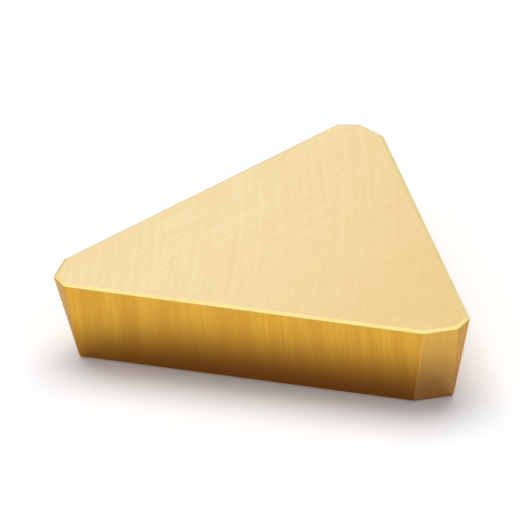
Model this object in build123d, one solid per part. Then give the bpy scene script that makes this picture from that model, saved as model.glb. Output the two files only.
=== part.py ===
from build123d import *
import os
from math import cos, radians, sin, sqrt, tan

# Triangular carbide milling insert for 90 degree shoulder mills: solid, with no hole and no
# chip groove, ground all over, right-hand.
#
# Frame: the origin is the centre of the seat face, +Z points from there to the rake face, and
# the front cutting edge runs along X on the -Y side. Lengths are in mm, angles in degrees.
#
# Seen from the rake face and going round anticlockwise, each corner has a short parallel land,
# square to the next cutting edge, and then a chamfer that leads into that edge. The outline is
# measured at the cutting edge. Below it every flank leans inwards by its own relief, and above
# it a narrow T-land climbs to the rake face.

# Body
INSCRIBED_CIRCLE = 9.525        # diameter of the circle that the three cutting edges touch
THICKNESS = 3.175               # seat face to rake face
SIDE_RELIEF = 11.0              # lean of the flank under each main cutting edge

# Corners
LAND_LENGTH = 1.2               # parallel land, the edge that wipes the milled floor smooth
LAND_RELIEF = 15.0
CHAMFER_WIDTH = 0.8             # corner chamfer, along its own cutting edge
CHAMFER_RELIEF = 11.0

# Edges
T_LAND_WIDTH = 0.15             # from the cutting edge in to the rake face, seen from above
T_LAND_SLOPE = 20.0             # below the rake face
HONE_RADIUS = 0.03              # rounding of the cutting edge itself
SEAT_BREAK_HEIGHT = 0.06        # flat that takes the sharpness off the seat face's edges
SEAT_BREAK_SLOPE = 45.0         # between that flat and the seat face

# The outline, worked out from the sizes above. A reach is a line's distance from the centre.
CORNERS = 3
SQUARE = 90                     # between the parallel land and the next cutting edge
SIDE_TURN = 360 / CORNERS
CORNER_ANGLE = 180 - SIDE_TURN
SIDE_REACH = INSCRIBED_CIRCLE / 2
HALF_SIDE = SIDE_REACH / tan(radians(CORNER_ANGLE / 2))
SHARP_CORNER_REACH = SIDE_REACH / sin(radians(CORNER_ANGLE / 2))

# The land and the next edge meet square, so the chamfer takes the same leg off both. The land's
# line meets the next edge at the land's set-back from the sharp corner.
CHAMFER_LEG = CHAMFER_WIDTH / sqrt(2)
LAND_SET_BACK = (LAND_LENGTH + CHAMFER_LEG) / tan(radians(CORNER_ANGLE))
LAND_REACH = HALF_SIDE - LAND_SET_BACK
CHAMFER_REACH = (LAND_REACH + SIDE_REACH - CHAMFER_LEG) / sqrt(2)

EDGE_HEIGHT = THICKNESS - T_LAND_WIDTH * tan(radians(T_LAND_SLOPE))
SAME_HEIGHT = 1e-4              # how far apart two heights may be and still count as one


def cut_plane(heading, reach, height, lean):
    """Plane that faces outwards at a heading, reach from the centre line at a height.

    Its normal leans below the horizontal, or rises above it where the lean is negative.
    """
    outward = Vector(cos(radians(heading)), sin(radians(heading)), 0)
    normal = outward * cos(radians(lean)) - Vector(0, 0, sin(radians(lean)))
    return Plane(origin=outward * reach + Vector(0, 0, height), z_dir=normal)


def grind(body, heading, reach, relief):
    """Cut one flank from its cutting edge down, the T-land above it and the break at its foot."""
    foot_reach = reach - (EDGE_HEIGHT - SEAT_BREAK_HEIGHT) * tan(radians(relief))
    flank = cut_plane(heading, reach, EDGE_HEIGHT, relief)
    t_land = cut_plane(heading, reach, EDGE_HEIGHT, T_LAND_SLOPE - 90)
    seat_break = cut_plane(heading, foot_reach, SEAT_BREAK_HEIGHT, 90 - SEAT_BREAK_SLOPE)
    for plane in (flank, t_land, seat_break):
        body = split(body, plane, keep=Keep.BOTTOM)
    return body


def blank():
    """Disc that the sharp triangle fits in, standing on the seat face."""
    stand = (Align.CENTER, Align.CENTER, Align.MIN)
    return Cylinder(SHARP_CORNER_REACH, THICKNESS, align=stand)


def hone(body):
    """Round the cutting edge all the way round."""
    below, above = EDGE_HEIGHT - SAME_HEIGHT, EDGE_HEIGHT + SAME_HEIGHT
    cutting_edges = body.edges().filter_by_position(Axis.Z, below, above)
    return fillet(cutting_edges, HONE_RADIUS)


def carbide_insert():
    """The whole insert. Its corner chamfers run out just above the seat face."""
    body = blank()
    for corner in range(CORNERS):
        heading = corner * SIDE_TURN - 90
        body = grind(body, heading, SIDE_REACH, SIDE_RELIEF)
        body = grind(body, heading - SQUARE, LAND_REACH, LAND_RELIEF)
        body = grind(body, heading - SQUARE / 2, CHAMFER_REACH, CHAMFER_RELIEF)
    return hone(body)


insert = carbide_insert()
insert.label = "insert"
os.makedirs("parts", exist_ok=True)
export_step(insert, "parts/insert.step")
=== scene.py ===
"""Triangular carbide milling insert with a gold titanium nitride coating, on a white table."""
from math import cos, pi, radians, sin, sqrt, tan

import bmesh
import bpy
import numpy as np
from mathutils import Matrix, Vector


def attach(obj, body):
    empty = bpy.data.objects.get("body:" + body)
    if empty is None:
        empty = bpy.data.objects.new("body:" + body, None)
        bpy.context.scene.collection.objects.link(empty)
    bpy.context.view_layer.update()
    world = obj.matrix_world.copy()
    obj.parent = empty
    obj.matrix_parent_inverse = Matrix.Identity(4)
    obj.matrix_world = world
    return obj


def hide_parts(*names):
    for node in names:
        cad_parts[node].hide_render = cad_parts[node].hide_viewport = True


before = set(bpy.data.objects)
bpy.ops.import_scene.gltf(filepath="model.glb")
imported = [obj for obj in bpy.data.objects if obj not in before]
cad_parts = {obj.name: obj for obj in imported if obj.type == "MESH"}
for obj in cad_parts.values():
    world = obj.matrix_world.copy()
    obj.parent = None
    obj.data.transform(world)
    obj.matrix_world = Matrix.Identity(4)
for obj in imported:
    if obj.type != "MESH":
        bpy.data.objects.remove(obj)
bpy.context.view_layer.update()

# The insert's driving sizes, those of its solid, in metres and degrees
MM = 0.001
INSCRIBED_CIRCLE = 9.525 * MM
THICKNESS = 3.175 * MM
SIDE_RELIEF = 11.0
LAND_LENGTH = 1.2 * MM
LAND_RELIEF = 15.0
CHAMFER_WIDTH = 0.8 * MM
CHAMFER_RELIEF = 11.0
T_LAND_WIDTH = 0.15 * MM
T_LAND_SLOPE = 20.0
SEAT_BREAK_HEIGHT = 0.06 * MM
SEAT_BREAK_SLOPE = 45.0

# The outline, worked out as in the solid. A reach is a line's distance from the centre.
CORNERS = 3
FRONT = -90
SQUARE = 90
SIDE_TURN = 360 / CORNERS
SIDE_REACH = INSCRIBED_CIRCLE / 2
HALF_SIDE = SIDE_REACH * tan(radians(SIDE_TURN / 2))
CHAMFER_LEG = CHAMFER_WIDTH / sqrt(2)
LAND_REACH = HALF_SIDE - (LAND_LENGTH + CHAMFER_LEG) / tan(radians(180 - SIDE_TURN))
CHAMFER_REACH = (LAND_REACH + SIDE_REACH - CHAMFER_LEG) / sqrt(2)
EDGE_HEIGHT = THICKNESS - T_LAND_WIDTH * tan(radians(T_LAND_SLOPE))

# How far the rounding of each kind of edge reaches over the faces beside it
CUTTING_EDGE_ROUNDING = 0.026 * MM
RAKE_EDGE_ROUNDING = 0.02 * MM
FLANK_EDGE_ROUNDING = 0.045 * MM
SEAT_EDGE_ROUNDING = 0.012 * MM
WIDEST_ROUNDING = FLANK_EDGE_ROUNDING
ROUNDING_SEGMENTS = 4

# How far apart two heights may be and still count as one, and how upright a level face's normal is
SAME_HEIGHT = 0.001 * MM
UPRIGHT = 0.99

# The facet map holds each face's own places in millimetres: across it, and up its slope
FACET_MAP = "facet_mm"

# Coating of the rake and seat faces, the same coating as the flanks' but painted paler, a painted
# highlight.
# It gets deeper between two places across the face.
RAKE_PALE = (0.950, 0.762, 0.424)
RAKE_DEEP = (0.890, 0.639, 0.276)
RAKE_WARM = (0.945, 0.705, 0.393)
RAKE_ROUGHNESS = 0.30
SEAT_ROUGHNESS = 0.36
DEEPER_FROM = -3.0
DEEPER_TO = 7.5
WARM_SHARE = 0.30

# Grinding arcs on those faces, about two centres on the facet map
FIRST_DISC = (-46, -12)
SECOND_DISC = (-44, 24)
ARC_SHARE = 0.16
ARC_ROUGHER = 0.06
GAP_SMOOTHER = 0.05
ARC_DEPTH = 0.0003 * MM

# Coating of the flanks and the T-land: the one coating in lit and shaded copies, painted deeper on
# the flanks as painted shade, and yellower on the T-land as a painted highlight along the cutting
# edge
T_LAND_PALE = (0.940, 0.770, 0.310)
T_LAND_DEEP = (0.900, 0.690, 0.250)
T_LAND_EDGE_TINT = (1.0, 1.0, 1.0)
T_LAND_ROUGHNESS = 0.20
FLANK_PALE = (0.770, 0.440, 0.057)
FLANK_DEEP = (0.630, 0.310, 0.040)
FLANK_EDGE_TINT = (0.97, 0.87, 0.71)
FLANK_ROUGHNESS = 0.12
LAND_PALE = (0.760, 0.450, 0.095)
LAND_DEEP = (0.660, 0.350, 0.070)
# The chamfer's coating is painted darker than the flanks', a painted reflection of dark things
# beside it
CHAMFER_PALE = (0.510, 0.275, 0.055)
CHAMFER_DEEP = (0.410, 0.215, 0.042)

# Grinding streaks on the flanks and the T-land
BROAD_SHARE = 0.50
NARROW_SHARE = 0.35
GROOVE_ROUGHNESS = 0.05
GROOVE_DEPTH = 0.0012 * MM

# Painted shade at the foot of a flank, browner towards the seat, standing for the table's shadow
# seen in the
# metal: the height where it fades out, and how much lower that is at one end, with the places
# across the flank, in millimetres, between which it drops
FLANK_PAINTED_SHADE = (0.345, 0.138, 0.025)
LAND_PAINTED_SHADE = (0.530, 0.270, 0.085)
PAINTED_SHADE_TOP = 2.8 * MM
PAINTED_SHADE_DROP = 0.65 * MM
PAINTED_SHADE_LOW_FROM = -6.5
PAINTED_SHADE_LOW_TO = -1.0

# Camera, as the photograph looks at the insert
CAMERA_AZIMUTH = 18.15
CAMERA_ELEVATION = 30.6
CAMERA_ROLL = -2.0
CAMERA_DISTANCE = 0.516
FRAME_WIDTH = 0.018
SENSOR_WIDTH = 36.0
CLIP_NEAR = 0.01
CLIP_FAR = 10.0

# Table, in metres from its middle, and room; a radiance of 1 shows as white
TABLE_COLOUR = (0.92, 0.92, 0.92)
TABLE_GLOW = 0.03
TABLE_REACH = 3.0
TABLE_DROP = 0.002 * MM
ROOM_LIGHT = 0.42
ROOM_COLOUR = (0.90, 0.99, 1.15)
WHITE = (1.0, 1.0, 1.0)

# The room's wall is greyer in the metal, and fades out between two elevations in degrees
WALL_LIGHT = 0.80
WALL_FROM = 16.0
WALL_TO = 23.0

# Lamp and card, in metres, degrees and radiance; azimuth 0 is the insert's front
LIGHT_COLOUR = (1.045, 1.0, 0.93)
LAMP_AZIMUTH = -156
LAMP_ELEVATION = 73
LAMP_DISTANCE = 1.5
LAMP_WIDTH = 1.4
LAMP_DEPTH = 1.1
LAMP_RADIANCE = 3.95
CARD_AZIMUTH = -158
CARD_ELEVATION = 71
CARD_DISTANCE = 1.2
CARD_WIDTH = 2.0
CARD_DEPTH = 0.9
CARD_RADIANCE = 0.12

# A mix node's colour sockets have the same names as its number sockets, so they go by place
FIRST_COLOUR = 6
SECOND_COLOUR = 7
MIXED_COLOUR = 2


# ---------------------------------------------------------------- shape

class Facet:
    """One facet of the outline: a flank with its T-land above and its seat break below."""

    def __init__(self, heading, reach, relief):
        self.outward = Vector((cos(radians(heading)), sin(radians(heading)), 0))
        self.reach = reach
        self.slope = tan(radians(relief))

    def reach_at(self, height):
        """Distance from the centre line to the facet at a height."""
        if height > EDGE_HEIGHT:
            return self.reach - (height - EDGE_HEIGHT) / tan(radians(T_LAND_SLOPE))
        foot = max(height, SEAT_BREAK_HEIGHT)
        seat_break = (foot - height) / tan(radians(SEAT_BREAK_SLOPE))
        return self.reach - (EDGE_HEIGHT - foot) * self.slope - seat_break


def corner_facets(corner):
    """The land, chamfer and side of one corner, going round anticlockwise."""
    heading = FRONT + corner * SIDE_TURN
    land = Facet(heading - SQUARE, LAND_REACH, LAND_RELIEF)
    chamfer = Facet(heading - SQUARE / 2, CHAMFER_REACH, CHAMFER_RELIEF)
    side = Facet(heading, SIDE_REACH, SIDE_RELIEF)
    return land, chamfer, side


def ring(facets, height):
    """Corner points at a height, each between one facet and the next anticlockwise."""
    points = []
    for facet, following in zip(facets, facets[1:] + facets[:1]):
        rows = [tuple(facet.outward.xy), tuple(following.outward.xy)]
        x, y = np.linalg.solve(rows, [facet.reach_at(height), following.reach_at(height)])
        points.append((x, y, height))
    return points


def run_out(corner):
    """Point just above the seat face where a corner's chamfer runs out between its neighbours."""
    planes = [(*facet.outward.xy, -facet.slope) for facet in corner]
    reaches = [facet.reach - EDGE_HEIGHT * facet.slope for facet in corner]
    return tuple(np.linalg.solve(planes, reaches))


def insert_outline():
    """Corner points, faces and each face's finish, with all edges still sharp."""
    corners = [corner_facets(corner) for corner in range(CORNERS)]
    facets = [facet for corner in corners for facet in corner]
    lower = [facet for land, chamfer, side in corners for facet in (land, side)]
    points = []

    def number(more):
        """Add more points and give their numbers."""
        points.extend(more)
        return list(range(len(points) - len(more), len(points)))

    rake = number(ring(facets, THICKNESS))
    edge = number(ring(facets, EDGE_HEIGHT))
    foot = number(ring(lower, SEAT_BREAK_HEIGHT))
    seat = number(ring(lower, 0))
    tips = number([run_out(corner) for corner in corners])

    faces = [(rake, "rake"), (seat[::-1], "seat")]
    for i in range(len(facets)):
        faces.append(([edge[i - 1], edge[i], rake[i], rake[i - 1]], "t_land"))
    for i in range(len(lower)):
        faces.append(([seat[i - 1], seat[i], foot[i], foot[i - 1]], "side"))
    for corner, tip in enumerate(tips):
        # A corner has three points at the edge but two at the foot, where its chamfer is gone
        left, middle, right = [foot[2 * corner + i] for i in (-1, 0, 1)]
        start, land_end, chamfer_end, side_end = [edge[3 * corner + i] for i in (-1, 0, 1, 2)]
        faces.append(([left, middle, tip, land_end, start], "land"))
        faces.append(([tip, chamfer_end, land_end], "chamfer"))
        faces.append(([tip, middle, right, side_end, chamfer_end], "side"))
    return points, faces


def rounding(edge):
    """How far an edge's rounding reaches, from the heights of its two ends."""
    low, high = sorted(end.co.z for end in edge.verts)
    if low > THICKNESS - SAME_HEIGHT:
        return RAKE_EDGE_ROUNDING
    if low > EDGE_HEIGHT - SAME_HEIGHT and high < EDGE_HEIGHT + SAME_HEIGHT:
        return CUTTING_EDGE_ROUNDING
    if high < SEAT_BREAK_HEIGHT + SAME_HEIGHT:
        return SEAT_EDGE_ROUNDING
    return FLANK_EDGE_ROUNDING


def map_face(face, layer):
    """Places on a flat face, in millimetres: across it, and up its slope."""
    normal = face.normal
    level = abs(normal.z) > UPRIGHT
    across = Vector((1, 0, 0)) if level else Vector((0, 0, 1)).cross(normal).normalized()
    up = normal.cross(across)
    for loop in face.loops:
        loop[layer].uv = (loop.vert.co.dot(across) / MM, loop.vert.co.dot(up) / MM)


def insert_mesh(finish_names):
    """The sharp-edged insert, with its facet map and how much of the rounding each edge gets."""
    points, faces = insert_outline()
    shape = bmesh.new()
    verts = [shape.verts.new(point) for point in points]
    for corners, finish in faces:
        face = shape.faces.new([verts[i] for i in corners])
        face.material_index = finish_names.index(finish)
        face.smooth = True
    shape.normal_update()
    facet_map = shape.loops.layers.uv.new(FACET_MAP)
    for face in shape.faces:
        map_face(face, facet_map)
    weight = shape.edges.layers.float.new("bevel_weight_edge")
    for edge in shape.edges:
        edge[weight] = rounding(edge) / WIDEST_ROUNDING

    mesh = bpy.data.meshes.new("coated_insert")
    shape.to_mesh(mesh)
    shape.free()
    return mesh


def make_insert(finishes):
    """The insert as one piece with its edges rounded and a material for each finish."""
    mesh = insert_mesh(list(finishes))
    for material in finishes.values():
        mesh.materials.append(material)
    insert = bpy.data.objects.new("coated_insert", mesh)
    bpy.context.scene.collection.objects.link(insert)

    bevel = insert.modifiers.new("edge rounding", "BEVEL")
    bevel.limit_method = "WEIGHT"
    bevel.width = WIDEST_ROUNDING
    bevel.segments = ROUNDING_SEGMENTS
    normals = insert.modifiers.new("flat faces stay flat", "WEIGHTED_NORMAL")
    normals.mode = "FACE_AREA"
    return insert


# ---------------------------------------------------------------- finishes

class Shading:
    """A material's node tree, with a few shorthands for adding to it."""

    def __init__(self, name):
        self.material = bpy.data.materials.new(name)
        self.material.use_nodes = True
        self.tree = self.material.node_tree
        self.surface = self.tree.nodes["Principled BSDF"]

    def add(self, kind, **settings):
        """New node of a kind, with its settings."""
        made = self.tree.nodes.new(kind)
        for name, value in settings.items():
            setattr(made, name, value)
        return made

    def link(self, source, target):
        """Let one socket feed another."""
        self.tree.links.new(source, target)

    def parts(self, vector):
        """X, Y and Z of a vector."""
        axes = self.add("ShaderNodeSeparateXYZ")
        self.link(vector, axes.inputs["Vector"])
        return axes.outputs

    def place(self):
        """Place on the facet, in millimetres: across it, and up its slope."""
        return self.add("ShaderNodeUVMap", uv_map=FACET_MAP).outputs["UV"]

    def across(self):
        """Place across the facet, in millimetres."""
        return self.parts(self.place())["X"]

    def height(self):
        """Height above the seat face, in metres."""
        return self.parts(self.add("ShaderNodeTexCoord").outputs["Object"])["Z"]

    def round_centre(self, centre):
        """Distance from a centre on the facet, and how far up the slope from that centre."""
        offset = self.add("ShaderNodeMapping", vector_type="TEXTURE")
        offset.inputs["Location"].default_value = (*centre, 0)
        self.link(self.place(), offset.inputs["Vector"])
        radius = self.add("ShaderNodeVectorMath", operation="LENGTH")
        self.link(offset.outputs["Vector"], radius.inputs[0])
        polar = self.add("ShaderNodeCombineXYZ")
        self.link(radius.outputs["Value"], polar.inputs["X"])
        self.link(self.parts(offset.outputs["Vector"])["Y"], polar.inputs["Y"])
        return polar.outputs["Vector"]

    def noise(self, place, size, stretch, shift, detail):
        """Noise of a size in millimetres, stretch times as long as wide, and moved by a shift."""
        mapping = self.add("ShaderNodeMapping", vector_type="TEXTURE")
        mapping.inputs["Location"].default_value = (*shift, 0)
        mapping.inputs["Scale"].default_value = (size, size * stretch, 1)
        self.link(place, mapping.inputs["Vector"])
        texture = self.add("ShaderNodeTexNoise", noise_dimensions="2D")
        texture.inputs["Scale"].default_value = 1.0
        texture.inputs["Detail"].default_value = detail
        self.link(mapping.outputs["Vector"], texture.inputs["Vector"])
        return texture.outputs["Fac"]

    def sum(self, first, second):
        """Two values added."""
        total = self.add("ShaderNodeMath", operation="ADD")
        self.link(first, total.inputs[0])
        self.link(second, total.inputs[1])
        return total.outputs[0]

    def spread(self, value, low=0.0, high=1.0, to_low=0.0, to_high=1.0):
        """Value from low to high taken smoothly on to the range from to_low to to_high."""
        ranged = self.add("ShaderNodeMapRange", interpolation_type="SMOOTHSTEP")
        ranged.inputs["From Min"].default_value = low
        ranged.inputs["From Max"].default_value = high
        ranged.inputs["To Min"].default_value = to_low
        ranged.inputs["To Max"].default_value = to_high
        self.link(value, ranged.inputs["Value"])
        return ranged.outputs["Result"]

    def streaks(self, noise, low, high, share):
        """Noise taken smoothly twice, for firmer streaks, on to the range from 0 to a share."""
        return self.spread(self.spread(noise, low, high), to_high=share)

    def blend(self, share, first, second):
        """Colour between two, each a plain colour or the result of another node."""
        mix = self.add("ShaderNodeMix", data_type="RGBA")
        self.link(share, mix.inputs["Factor"])
        for place, colour in ((FIRST_COLOUR, first), (SECOND_COLOUR, second)):
            if isinstance(colour, tuple):
                mix.inputs[place].default_value = (*colour, 1)
            else:
                self.link(colour, mix.inputs[place])
        return mix.outputs[MIXED_COLOUR]

    def metal(self, colour, roughness, relief, depth):
        """Make the surface a metal of a colour and a roughness, with a relief of a depth."""
        bump = self.add("ShaderNodeBump")
        bump.inputs["Strength"].default_value = 1.0
        bump.inputs["Distance"].default_value = depth
        self.link(relief, bump.inputs["Height"])
        self.surface.inputs["Metallic"].default_value = 1.0
        self.link(colour, self.surface.inputs["Base Color"])
        self.link(roughness, self.surface.inputs["Roughness"])
        self.link(bump.outputs["Normal"], self.surface.inputs["Normal"])


def ground_face(name, roughness):
    """Face ground by two discs: fine crossing arcs, and a coating deeper to one side."""
    shading = Shading(name)
    first = shading.round_centre(FIRST_DISC)
    second = shading.round_centre(SECOND_DISC)
    first = shading.noise(first, size=0.20, stretch=40, shift=(1.3, 1.3), detail=2.0)
    second = shading.noise(second, size=0.16, stretch=40, shift=(5.9, 5.9), detail=2.0)
    both = shading.sum(first, second)
    arcs = shading.spread(both, low=0.80, high=1.20)
    patches = shading.noise(shading.place(), size=2.6, stretch=1, shift=(7.7, 2.849), detail=4.0)

    deeper = shading.spread(shading.across(), DEEPER_FROM, DEEPER_TO)
    colour = shading.blend(deeper, RAKE_PALE, RAKE_DEEP)
    warmer = shading.spread(patches, low=0.40, high=0.75, to_high=WARM_SHARE)
    colour = shading.blend(warmer, colour, RAKE_WARM)
    colour = shading.blend(shading.spread(arcs, to_high=ARC_SHARE), colour, RAKE_DEEP)
    rough = shading.spread(arcs, to_low=roughness - GAP_SMOOTHER, to_high=roughness + ARC_ROUGHER)
    shading.metal(colour, rough, both, ARC_DEPTH)
    return shading.material


def ground_flank(name, pale, deep, foot, edge_tint, roughness):
    """Flank ground up its slope: streaks along the lines, and painted shade browner down at the
    seat.
    """
    shading = Shading(name)
    place = shading.place()
    broad = shading.noise(place, size=0.55, stretch=16, shift=(2.4, 0.888), detail=2.0)
    narrow = shading.noise(place, size=0.11, stretch=30, shift=(8.2, 3.034), detail=4.0)
    grooves = shading.noise(place, size=0.035, stretch=60, shift=(4.6, 1.702), detail=3.0)

    broad = shading.streaks(broad, low=0.30, high=0.70, share=BROAD_SHARE)
    colour = shading.blend(broad, pale, deep)
    narrow = shading.streaks(narrow, low=0.30, high=0.72, share=NARROW_SHARE)
    colour = shading.blend(narrow, colour, deep)
    # Painted shade: the coating browns towards the seat, lower at one end, for the table's shadow
    # seen in the metal
    shade_lowering = shading.spread(
        shading.across(), PAINTED_SHADE_LOW_FROM, PAINTED_SHADE_LOW_TO, to_low=PAINTED_SHADE_DROP, to_high=0)
    painted_shade_share = shading.spread(shading.sum(shading.height(), shade_lowering), low=PAINTED_SHADE_TOP, high=0)
    colour = shading.blend(painted_shade_share, colour, foot)
    rough = shading.spread(
        grooves, low=0.30, high=0.70,
        to_low=roughness - GROOVE_ROUGHNESS, to_high=roughness + GROOVE_ROUGHNESS)
    shading.metal(colour, rough, grooves, GROOVE_DEPTH)
    shading.surface.inputs["Specular Tint"].default_value = (*edge_tint, 1)
    return shading.material


def insert_finishes():
    """The material of each kind of face."""
    t_land = (T_LAND_PALE, T_LAND_DEEP, FLANK_PAINTED_SHADE, T_LAND_EDGE_TINT, T_LAND_ROUGHNESS)
    side = (FLANK_PALE, FLANK_DEEP, FLANK_PAINTED_SHADE, FLANK_EDGE_TINT, FLANK_ROUGHNESS)
    land = (LAND_PALE, LAND_DEEP, LAND_PAINTED_SHADE, FLANK_EDGE_TINT, FLANK_ROUGHNESS)
    chamfer = (CHAMFER_PALE, CHAMFER_DEEP, FLANK_PAINTED_SHADE, FLANK_EDGE_TINT, FLANK_ROUGHNESS)
    return {
        "rake": ground_face("rake_face", RAKE_ROUGHNESS),
        "t_land": ground_flank("t_land", *t_land),
        "side": ground_flank("side_flank", *side),
        "land": ground_flank("parallel_land", *land),
        "chamfer": ground_flank("corner_chamfer", *chamfer),
        "seat": ground_face("seat_face", SEAT_ROUGHNESS),
    }


# ---------------------------------------------------------------- table, light and camera

def seen_by_camera_or_metal(tree):
    """1 where the camera or a reflection looks, 0 where the light is worked out."""
    rays = tree.nodes.new("ShaderNodeLightPath")
    seen = rays.outputs["Is Camera Ray"]
    for kind in ("Is Glossy Ray", "Is Transmission Ray"):
        add = tree.nodes.new("ShaderNodeMath")
        add.operation = "ADD"
        add.use_clamp = True
        tree.links.new(seen, add.inputs[0])
        tree.links.new(rays.outputs[kind], add.inputs[1])
        seen = add.outputs[0]
    return seen


def table_white():
    """White that takes a shadow, with a little glow where the camera or a reflection looks."""
    material = bpy.data.materials.new("table_white")
    material.use_nodes = True
    tree = material.node_tree
    tree.nodes.remove(tree.nodes["Principled BSDF"])
    diffuse = tree.nodes.new("ShaderNodeBsdfDiffuse")
    diffuse.inputs["Color"].default_value = (*TABLE_COLOUR, 1)
    glow = tree.nodes.new("ShaderNodeEmission")
    level = tree.nodes.new("ShaderNodeMath")
    level.operation = "MULTIPLY"
    level.inputs[1].default_value = TABLE_GLOW
    add = tree.nodes.new("ShaderNodeAddShader")
    tree.links.new(seen_by_camera_or_metal(tree), level.inputs[0])
    tree.links.new(level.outputs[0], glow.inputs["Strength"])
    tree.links.new(diffuse.outputs[0], add.inputs[0])
    tree.links.new(glow.outputs[0], add.inputs[1])
    tree.links.new(add.outputs[0], tree.nodes["Material Output"].inputs["Surface"])
    return material


def table():
    """White table, a hair's breadth below the seat face of the insert that lies on it."""
    corners = [(-TABLE_REACH, -TABLE_REACH), (TABLE_REACH, -TABLE_REACH),
               (TABLE_REACH, TABLE_REACH), (-TABLE_REACH, TABLE_REACH)]
    mesh = bpy.data.meshes.new("table")
    mesh.from_pydata([(x, y, -TABLE_DROP) for x, y in corners], [], [(0, 1, 2, 3)])
    mesh.materials.append(table_white())
    top = bpy.data.objects.new("table", mesh)
    bpy.context.scene.collection.objects.link(top)


def wall_light(tree):
    """Brightness of the room: 1 to the camera, and in the metal less near the horizon."""
    place = tree.nodes.new("ShaderNodeTexCoord")
    axes = tree.nodes.new("ShaderNodeSeparateXYZ")
    wall = tree.nodes.new("ShaderNodeMapRange")
    wall.interpolation_type = "SMOOTHSTEP"
    wall.inputs["From Min"].default_value = sin(radians(WALL_FROM))
    wall.inputs["From Max"].default_value = sin(radians(WALL_TO))
    wall.inputs["To Min"].default_value = WALL_LIGHT
    wall.inputs["To Max"].default_value = 1.0
    rays = tree.nodes.new("ShaderNodeLightPath")
    brighter = tree.nodes.new("ShaderNodeMath")
    brighter.operation = "MAXIMUM"
    tree.links.new(place.outputs["Generated"], axes.inputs["Vector"])
    tree.links.new(axes.outputs["Z"], wall.inputs["Value"])
    tree.links.new(wall.outputs["Result"], brighter.inputs[0])
    tree.links.new(rays.outputs["Is Camera Ray"], brighter.inputs[1])
    return brighter.outputs[0]


def white_room():
    """World that lights softly, and is white to the camera and, above its wall, in the metal."""
    world = bpy.data.worlds.new("white_room")
    bpy.context.scene.world = world
    world.use_nodes = True
    tree = world.node_tree
    background = tree.nodes["Background"]
    tint = tree.nodes.new("ShaderNodeMix")
    tint.data_type = "RGBA"
    tint.inputs[FIRST_COLOUR].default_value = (*ROOM_COLOUR, 1)
    tint.inputs[SECOND_COLOUR].default_value = (*WHITE, 1)
    level = tree.nodes.new("ShaderNodeMapRange")
    level.inputs["To Min"].default_value = ROOM_LIGHT
    tree.links.new(wall_light(tree), level.inputs["To Max"])
    seen = seen_by_camera_or_metal(tree)
    tree.links.new(seen, level.inputs["Value"])
    tree.links.new(seen, tint.inputs["Factor"])
    tree.links.new(level.outputs[0], background.inputs["Strength"])
    tree.links.new(tint.outputs[MIXED_COLOUR], background.inputs["Color"])


def towards(azimuth, elevation):
    """Direction from the insert to a camera or a lamp; azimuth 0 is its front."""
    turn, rise = radians(azimuth), radians(elevation)
    return Vector((sin(turn) * cos(rise), -cos(turn) * cos(rise), sin(rise)))


def oblong_lamp(name, back, distance, width, depth, radiance):
    """Oblong lamp aimed at the insert from the direction back."""
    lamp = bpy.data.lights.new(name, "AREA")
    lamp.shape = "RECTANGLE"
    lamp.size = width
    lamp.size_y = depth
    lamp.energy = radiance * pi * width * depth
    lamp.color = LIGHT_COLOUR
    made = bpy.data.objects.new(name, lamp)
    bpy.context.scene.collection.objects.link(made)
    made.location = back * distance
    made.rotation_euler = back.to_track_quat("Z", "Y").to_euler()
    return made


def overhead_light():
    """A lamp that lights the table and isn't seen in the metal, and a dim card seen only there."""
    above = towards(LAMP_AZIMUTH, LAMP_ELEVATION)
    lamp = oblong_lamp("lamp", above, LAMP_DISTANCE, LAMP_WIDTH, LAMP_DEPTH, LAMP_RADIANCE)
    lamp.visible_glossy = False
    behind = towards(CARD_AZIMUTH, CARD_ELEVATION)
    card = oblong_lamp("card", behind, CARD_DISTANCE, CARD_WIDTH, CARD_DEPTH, CARD_RADIANCE)
    card.visible_diffuse = False


def camera(points):
    """Camera at the photograph's angle and distance, with the points in mid frame."""
    back = towards(CAMERA_AZIMUTH, CAMERA_ELEVATION)
    turn = back.to_track_quat("Z", "Y").to_matrix() @ Matrix.Rotation(radians(CAMERA_ROLL), 3, "Z")
    across, up = turn.col[0], turn.col[1]

    def middle(axis):
        """Halfway between the nearest and the farthest point along an axis."""
        reaches = [point.dot(axis) for point in points]
        return (min(reaches) + max(reaches)) / 2

    target = across * middle(across) + up * middle(up) + back * middle(back)
    data = bpy.data.cameras.new("camera")
    data.sensor_width = SENSOR_WIDTH
    data.lens = SENSOR_WIDTH * CAMERA_DISTANCE / FRAME_WIDTH
    data.clip_start = CLIP_NEAR
    data.clip_end = CLIP_FAR
    made = bpy.data.objects.new("camera", data)
    bpy.context.scene.collection.objects.link(made)
    made.matrix_world = Matrix.Translation(target + back * CAMERA_DISTANCE) @ turn.to_4x4()
    bpy.context.scene.camera = made


insert = make_insert(insert_finishes())
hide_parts("insert")
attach(insert, "root")

table()
white_room()
overhead_light()
camera([v.co for v in insert.data.vertices])
bpy.context.scene.view_settings.view_transform = "Standard"
